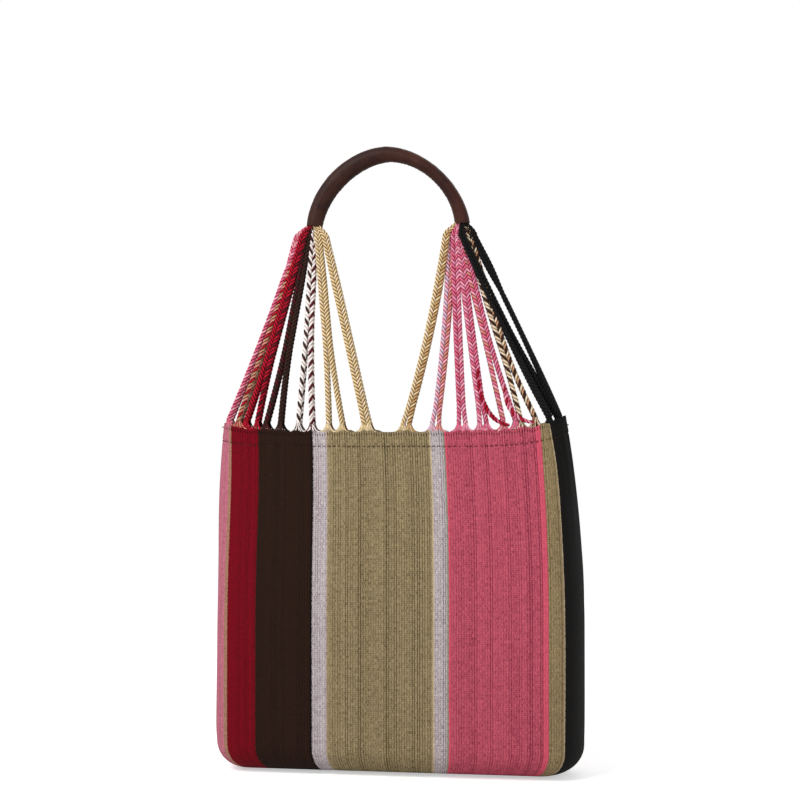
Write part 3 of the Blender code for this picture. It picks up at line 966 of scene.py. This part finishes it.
def makeWeaveGroup():
    # ribs of warp thread with random light and dark dashes and painted shade in the grooves between them,
    # crossed by faint weft lines
    inputs = [("Across", "Float"), ("Down", "Float")]
    inputs += [("Light", "Color"), ("Dark", "Color"), ("Contrast", "Float")]
    group, given, result = newGroup("warpFacedWeave", inputs, [("Colour", "Color"), ("Height", "Float")])

    def rows(given, size):
        return maths(group, "DIVIDE", given, size)

    def grid(across, down):
        return addNode(group, "ShaderNodeCombineXYZ", {0: across, 1: down}).outputs[0]

    rib = rows(given["Across"], weave["rib"])
    ribNumber = maths(group, "FLOOR", rib)
    ribDice = diceAt(group, ribNumber)
    dash = maths(group, "ADD", rows(given["Down"], weave["dash"]), maths(group, "MULTIPLY", ribDice, 40))
    cell = grid(ribNumber, maths(group, "FLOOR", dash))
    dashNode = addNode(group, "ShaderNodeTexWhiteNoise", {"Vector": cell}, noise_dimensions="2D")
    dashDice = dashNode.outputs["Value"]
    threads = grid(rows(given["Across"], weave["thread"]), rows(given["Down"], weave["slub"]))
    flecks = noiseAt(group, threads, 1.0, 2.0)
    broad = grid(maths(group, "MULTIPLY", given["Across"], 40), maths(group, "MULTIPLY", given["Down"], 12))
    wear = noiseAt(group, broad, 1.0, 3.0)
    ribRound = maths(group, "SINE", maths(group, "MULTIPLY", maths(group, "FRACT", rib), math.pi))
    weftWave = maths(group, "SINE", maths(group, "MULTIPLY", given["Down"], 2 * math.pi / weave["weft"]))
    bundleDice = diceAt(group, maths(group, "FLOOR", rows(given["Across"], weave["bundle"])))

    # painted shade: the colour darkens in the grooves between ribs, more deeply on some ribs than on others
    between = shareBetween(group, ribRound, 0.12, 0.82)
    grooveShadeStrength = maths(group, "MULTIPLY_ADD", maths(group, "POWER", ribDice, 4.0), 2.1, 0.22)
    value = maths(group, "MULTIPLY_ADD", flecks, 2.3, -0.44)
    value = maths(group, "ADD", value, maths(group, "MULTIPLY_ADD", dashDice, 0.22, -0.11))
    value = maths(group, "ADD", value, maths(group, "MULTIPLY_ADD", wear, 0.22, -0.11))
    ribGrooveShade = maths(group, "MULTIPLY", maths(group, "SUBTRACT", 1.0, between), grooveShadeStrength)
    value = maths(group, "SUBTRACT", value, ribGrooveShade)
    value = maths(group, "ADD", value, maths(group, "MULTIPLY", weftWave, 0.12))
    value = maths(group, "ADD", value, maths(group, "MULTIPLY_ADD", bundleDice, 0.16, -0.08))
    swing = maths(group, "MULTIPLY", maths(group, "SUBTRACT", value, 0.5), given["Contrast"])
    middle = maths(group, "ADD", swing, 0.5)
    clamped = addNode(group, "ShaderNodeClamp", {"Value": middle}).outputs[0]
    colour = blendColour(group, clamped, given["Dark"], given["Light"])

    # the row of small holes just under the hem's edge, painted near black with the shade inside them
    aboveLine = maths(group, "LESS_THAN", given["Down"], weave["holesTo"])
    belowEdge = maths(group, "GREATER_THAN", given["Down"], weave["holesFrom"])
    nearEdge = maths(group, "MULTIPLY", aboveLine, belowEdge)
    holes = maths(group, "MULTIPLY", nearEdge, maths(group, "LESS_THAN", ribRound, 0.62))
    shadow = maths(group, "MULTIPLY", holes, 0.65)
    colour = blendColour(group, shadow, colour, (0.01, 0.008, 0.006, 1), "MULTIPLY")
    height = maths(group, "ADD", ribRound, maths(group, "MULTIPLY", flecks, 0.8))
    height = maths(group, "ADD", height, maths(group, "MULTIPLY", weftWave, 0.22))
    group.links.new(colour, result["Colour"])
    height = maths(group, "SUBTRACT", height, maths(group, "MULTIPLY", holes, 1.2))
    group.links.new(height, result["Height"])
    return group


def makeClothMaterial():
    finish = {"Roughness": 0.9, "Sheen_Weight": 0.02, "Sheen_Roughness": 0.5}
    material, tree, shader = newMaterial("stripedCotton", **finish)
    shader.inputs["Specular IOR Level"].default_value = 0.1
    uv, parts = mapPlace(tree, "weave")
    across, down = parts[0], parts[1]
    # the back is the same cloth, measured on from the fold
    mirrored = maths(tree, "SUBTRACT", 2 * pouch["foldAt"], down)
    fromHem = maths(tree, "MINIMUM", down, mirrored)
    onBack = maths(tree, "GREATER_THAN", down, pouch["foldAt"])
    ribPlace = maths(tree, "ADD", across, maths(tree, "MULTIPLY", onBack, 3.0))
    wobble = noiseAt(tree, uv, 700.0, 0.0)
    edge = maths(tree, "ADD", across, maths(tree, "MULTIPLY_ADD", wobble, 0.0012, -0.0006))
    place = maths(tree, "DIVIDE", maths(tree, "SUBTRACT", edge, seamLeft), stripes[-1][0] - seamLeft)
    woven = addNode(tree, "ShaderNodeGroup", node_tree=makeWeaveGroup())
    tree.links.new(ribPlace, woven.inputs["Across"])
    tree.links.new(fromHem, woven.inputs["Down"])
    tree.links.new(stripeRamp(tree, place, 1), woven.inputs["Light"])
    tree.links.new(stripeRamp(tree, place, 2), woven.inputs["Dark"])
    tree.links.new(stripeRamp(tree, place, 3), woven.inputs["Contrast"])
    tree.links.new(woven.outputs["Colour"], shader.inputs["Base Color"])
    addBump(tree, shader, 0.55, 0.0005, woven.outputs["Height"])
    return material


clothMaterial = makeClothMaterial()
for piece in clothPieces:
    piece.data.materials.clear()
    piece.data.materials.append(clothMaterial)
print("cloth dyed")

hemStitches = {
    "length": 0.0029,
    "gap": 0.0016,
    "stretch": 0.82,  # the hem is gathered, so a stitch is a little shorter there than on the belly
    "radius": 0.00042,
    "sides": 6,
    "down": 0.0157,
    "margin": 0.012,
}


def makeHemStitches(side, name):
    skein = Skein()
    shape = hemStitches
    stripe = seamLeft + shape["margin"]
    dice = random.Random(name)
    while stripe < seamRight - shape["margin"]:
        end = stripe + shape["length"] / shape["stretch"] * dice.uniform(0.85, 1.1)
        tilt = dice.uniform(-0.0002, 0.0002)
        path, outwards, radii = [], [], []
        for i in range(5):
            t = i / 4
            bulge = math.sin(math.pi * t)
            down = shape["down"] + tilt * (2 * t - 1)
            path.append(clothPoint(mix(stripe, end, t), down, side, 0.0005 * bulge - 0.0002))
            outwards.append(Vector((0, side, 0)))
            radii.append(shape["radius"] * mix(0.55, 1.0, bulge))
        skein.strand(path, radii, shape["sides"], outwards, 0)
        stripe = end + shape["gap"] / shape["stretch"]
    piece = skein.piece("hemStitches" + name, ["brown"])
    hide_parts("hem_stitch_" + name.lower())
    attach(piece, "bag")


makeHemStitches(-1, "Front")
makeHemStitches(1, "Back")
print("hem sewn")

handle = {
    "radius": 0.0080,
    "halfSpan": 0.0785,
    "rise": 0.0785,
    "wall": 0.0016,
    "swell": 0.19,  # the left shoulder is thicker and the right one thinner
    "power": 1.8,
    "endAngle": math.radians(4.5),
    "stations": 150,
    "sides": 48,
    "inside": 0.014,  # how far the inner face is modelled up the mouth
    "seamDepth": 0.0006,
    "seamGroove": 0.09,  # these three are in radians round the tube
    "seamWidth": 0.24,
    "seamLip": 0.13,
    "grain": 0.00022,
}
handle["centreZ"] = coverHigh.z - handle["radius"] - handle["rise"]


def archPlace(turn):
    # the arch's centre line and the way out from it, as a slightly pointed half circle
    c, s = math.cos(turn), math.sin(turn)
    p = 2 / handle["power"]
    x = -handle["halfSpan"] * math.copysign(abs(c) ** p, c)
    z = handle["centreZ"] + handle["rise"] * abs(s) ** p
    slopeX = handle["halfSpan"] * p * max(abs(c), 1e-6) ** (p - 1) * s
    slopeZ = handle["rise"] * p * max(abs(s), 1e-6) ** (p - 1) * c
    tangent = Vector((slopeX, 0, slopeZ)).normalized()
    return Vector((x, 0, z)), tangent, Vector((-tangent.z, 0, tangent.x))


def leatherPoint(turn, angle, wall):
    centre, _, outward = archPlace(turn)
    half = handle["radius"] * (1 + handle["swell"] * math.sin(2 * turn)) - wall
    width = handle["radius"] - wall
    # how far round the tube the point is from the seam, which runs along the arch's inner side
    away = abs(math.atan2(math.sin(angle - math.pi), math.cos(angle - math.pi)))
    dip = 0.0
    if wall == 0:
        place = Vector((turn * 9, math.cos(angle) * 1.3, math.sin(angle) * 1.3))
        dip -= handle["grain"] * (noise.noise(place * 2.2) + 0.6 * noise.noise(place * 6.0))
        dip += handle["seamDepth"] * math.exp(-((away / handle["seamGroove"]) ** 2))
        lip = math.exp(-(((away - handle["seamWidth"]) / handle["seamLip"]) ** 2))
        dip -= handle["seamDepth"] * 0.6 * lip
    sideways = Vector((0, 1, 0)) * (width - dip) * math.sin(angle)
    return centre + outward * (half - dip) * math.cos(angle) + sideways


def makeLeather():
    shape = handle
    first, last = shape["endAngle"], math.pi - shape["endAngle"]
    turns = [mix(first, last, i / shape["stations"]) for i in range(shape["stations"] + 1)]
    inside = shape["inside"] / shape["rise"]
    steps = 6
    innerLeft = [(mix(first + inside, first + 0.004, i / steps), shape["wall"]) for i in range(steps + 1)]
    innerRight = [(mix(last - 0.004, last - inside, i / steps), shape["wall"]) for i in range(steps + 1)]
    rounding = [(first + 0.001, shape["wall"] * 0.72), (first, shape["wall"] * 0.38)]
    stations = innerLeft + rounding + [(turn, 0.0) for turn in turns]
    stations += [(math.pi - turn, wall) for turn, wall in reversed(rounding)] + innerRight
    points, faces, places = [], [], []
    sides = shape["sides"]
    for turn, wall in stations:
        points += [leatherPoint(turn, 2 * math.pi * j / sides, wall) for j in range(sides)]
    for i in range(len(stations) - 1):
        for j in range(sides):
            k = (j + 1) % sides
            ring, following = i * sides, (i + 1) * sides
            faces.append((ring + j, ring + k, following + k, following + j))
            u0, u1 = j / sides, (j + 1) / sides
            v0, v1 = stations[i][0], stations[i + 1][0]
            places += [u0, v0, u1, v0, u1, v1, u0, v1]
    lastRing = (len(stations) - 1) * sides
    faces.append(tuple(range(sides - 1, -1, -1)))
    faces.append(tuple(lastRing + j for j in range(sides)))
    places += [0.0, 0.0] * (2 * sides)
    obj = meshPiece("leatherHandle", points, faces, "hide", places)
    holdOnly(obj)
    bpy.ops.object.mode_set(mode="EDIT")
    bpy.ops.mesh.select_all(action="SELECT")
    bpy.ops.mesh.normals_make_consistent(inside=False)
    bpy.ops.object.mode_set(mode="OBJECT")
    obj.select_set(False)
    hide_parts("handle_leather_cover")
    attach(obj, "handle")
    return obj


def makeLeatherMaterial():
    material, tree, shader = newMaterial("brownLeather", Roughness=0.5)
    shader.inputs["Specular IOR Level"].default_value = 0.14
    spot = addNode(tree, "ShaderNodeTexCoord").outputs["Object"]
    parts = addNode(tree, "ShaderNodeSeparateXYZ", {0: spot})
    patches = noiseAt(tree, spot, 46.0, 4.0, Roughness=0.6)
    pores = addNode(tree, "ShaderNodeTexVoronoi", {"Vector": spot, "Scale": 1500.0}).outputs["Distance"]
    creases = noiseAt(tree, spot, 520.0, 3.0, Roughness=0.7)
    redder = maths(tree, "MULTIPLY_ADD", parts.outputs[0], 7.0, 0.35)
    redder = addNode(tree, "ShaderNodeClamp", {"Value": redder}).outputs[0]
    base = blendColour(tree, redder, linear(46, 22, 15), linear(54, 21, 15))
    worn = shareBetween(tree, patches, 0.42, 0.72)
    colour = blendColour(tree, maths(tree, "MULTIPLY", worn, 0.45), base, linear(84, 48, 36))
    dark = shareBetween(tree, patches, 0.46, 0.28)
    colour = blendColour(tree, maths(tree, "MULTIPLY", dark, 0.6), colour, linear(27, 13, 10))
    # painted shade in the low places of the fine creases
    creaseShade = shareBetween(tree, creases, 0.55, 0.35)
    colour = blendColour(tree, maths(tree, "MULTIPLY", creaseShade, 0.35), colour, linear(22, 11, 9))
    fromSeam = maths(tree, "ABSOLUTE", maths(tree, "SUBTRACT", mapPlace(tree, "hide")[1][0], 0.5))
    seamDark = shareBetween(tree, fromSeam, 0.05, 0.0)
    colour = blendColour(tree, maths(tree, "MULTIPLY", seamDark, 0.75), colour, linear(12, 7, 6))
    tree.links.new(colour, shader.inputs["Base Color"])
    gloss = maths(tree, "MULTIPLY_ADD", creases, 0.28, 0.36)
    tree.links.new(gloss, shader.inputs["Roughness"])
    height = maths(tree, "ADD", maths(tree, "MULTIPLY", pores, 0.4), creases)
    addBump(tree, shader, 0.35, 0.0004, height)
    return material


seamStitches = {
    "count": 52,
    "radius": 0.00038,
    "sides": 6,
    "endTurn": 0.16,
    "half": 0.2,  # half a stitch's reach round the tube, in radians
    "lean": 0.0008,
    "bedded": 0.00015,
}


def makeSeamStitches():
    skein = Skein()
    shape = seamStitches
    for i in range(shape["count"]):
        turn = mix(shape["endTurn"], math.pi - shape["endTurn"], i / (shape["count"] - 1))
        _, tangent, outward = archPlace(turn)
        path, outwards, radii = [], [], []
        for k in range(5):
            t = k / 4
            point = leatherPoint(turn, math.pi + mix(-shape["half"], shape["half"], t), 0.0)
            lean = mix(-shape["lean"], shape["lean"], t)
            path.append(point + tangent * lean - outward * shape["bedded"])
            outwards.append(-outward)
            radii.append(shape["radius"] * mix(0.6, 1.0, math.sin(math.pi * t)))
        skein.strand(path, radii, shape["sides"], outwards, 0)
    piece = skein.piece("handleStitches", ["brown"])
    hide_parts("handle_seam_thread")
    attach(piece, "handle")


leatherHandle = makeLeather()
leatherHandle.data.materials.append(makeLeatherMaterial())
makeSeamStitches()
print("handle sewn")


def makeRopeMaterial(name, light, dark, pitch):
    material, tree, shader = newMaterial(name, Roughness=0.85)
    spot = addNode(tree, "ShaderNodeTexCoord").outputs["Object"]
    parts = addNode(tree, "ShaderNodeSeparateXYZ", {0: spot})
    slope = maths(tree, "ADD", parts.outputs[2], maths(tree, "MULTIPLY", parts.outputs[1], 0.8))
    lay = maths(tree, "SINE", maths(tree, "MULTIPLY", slope, 2 * math.pi / pitch))
    grain = noiseAt(tree, spot, 900.0, 3.0)
    # painted shade: the colour follows the lay, lighter on the strands' crests and darker in the grooves
    # between them, with fibre grain over it
    share = maths(tree, "MULTIPLY_ADD", lay, 0.25, 0.25)
    share = maths(tree, "ADD", share, maths(tree, "MULTIPLY", grain, 0.5))
    tree.links.new(blendColour(tree, share, linear(*dark), linear(*light)), shader.inputs["Base Color"])
    addBump(tree, shader, 0.6, 0.0005, maths(tree, "ADD", lay, grain))
    return material


def dressNode(name, material):
    node = frame["nodes"][name]
    node.data.materials.clear()
    node.data.materials.append(material)


# the rope inside the leather and its whippings keep the model's own shape
ropeMaterial = makeRopeMaterial("jutePlait", (196, 164, 118), (120, 88, 54), 0.004)
whippingMaterial = makeRopeMaterial("waxedThread", (92, 66, 50), (46, 30, 22), 0.0009)
dressNode("handle_rope_core", ropeMaterial)
dressNode("core_whipping_left", whippingMaterial)
dressNode("core_whipping_right", whippingMaterial)
print("kept pieces dressed")
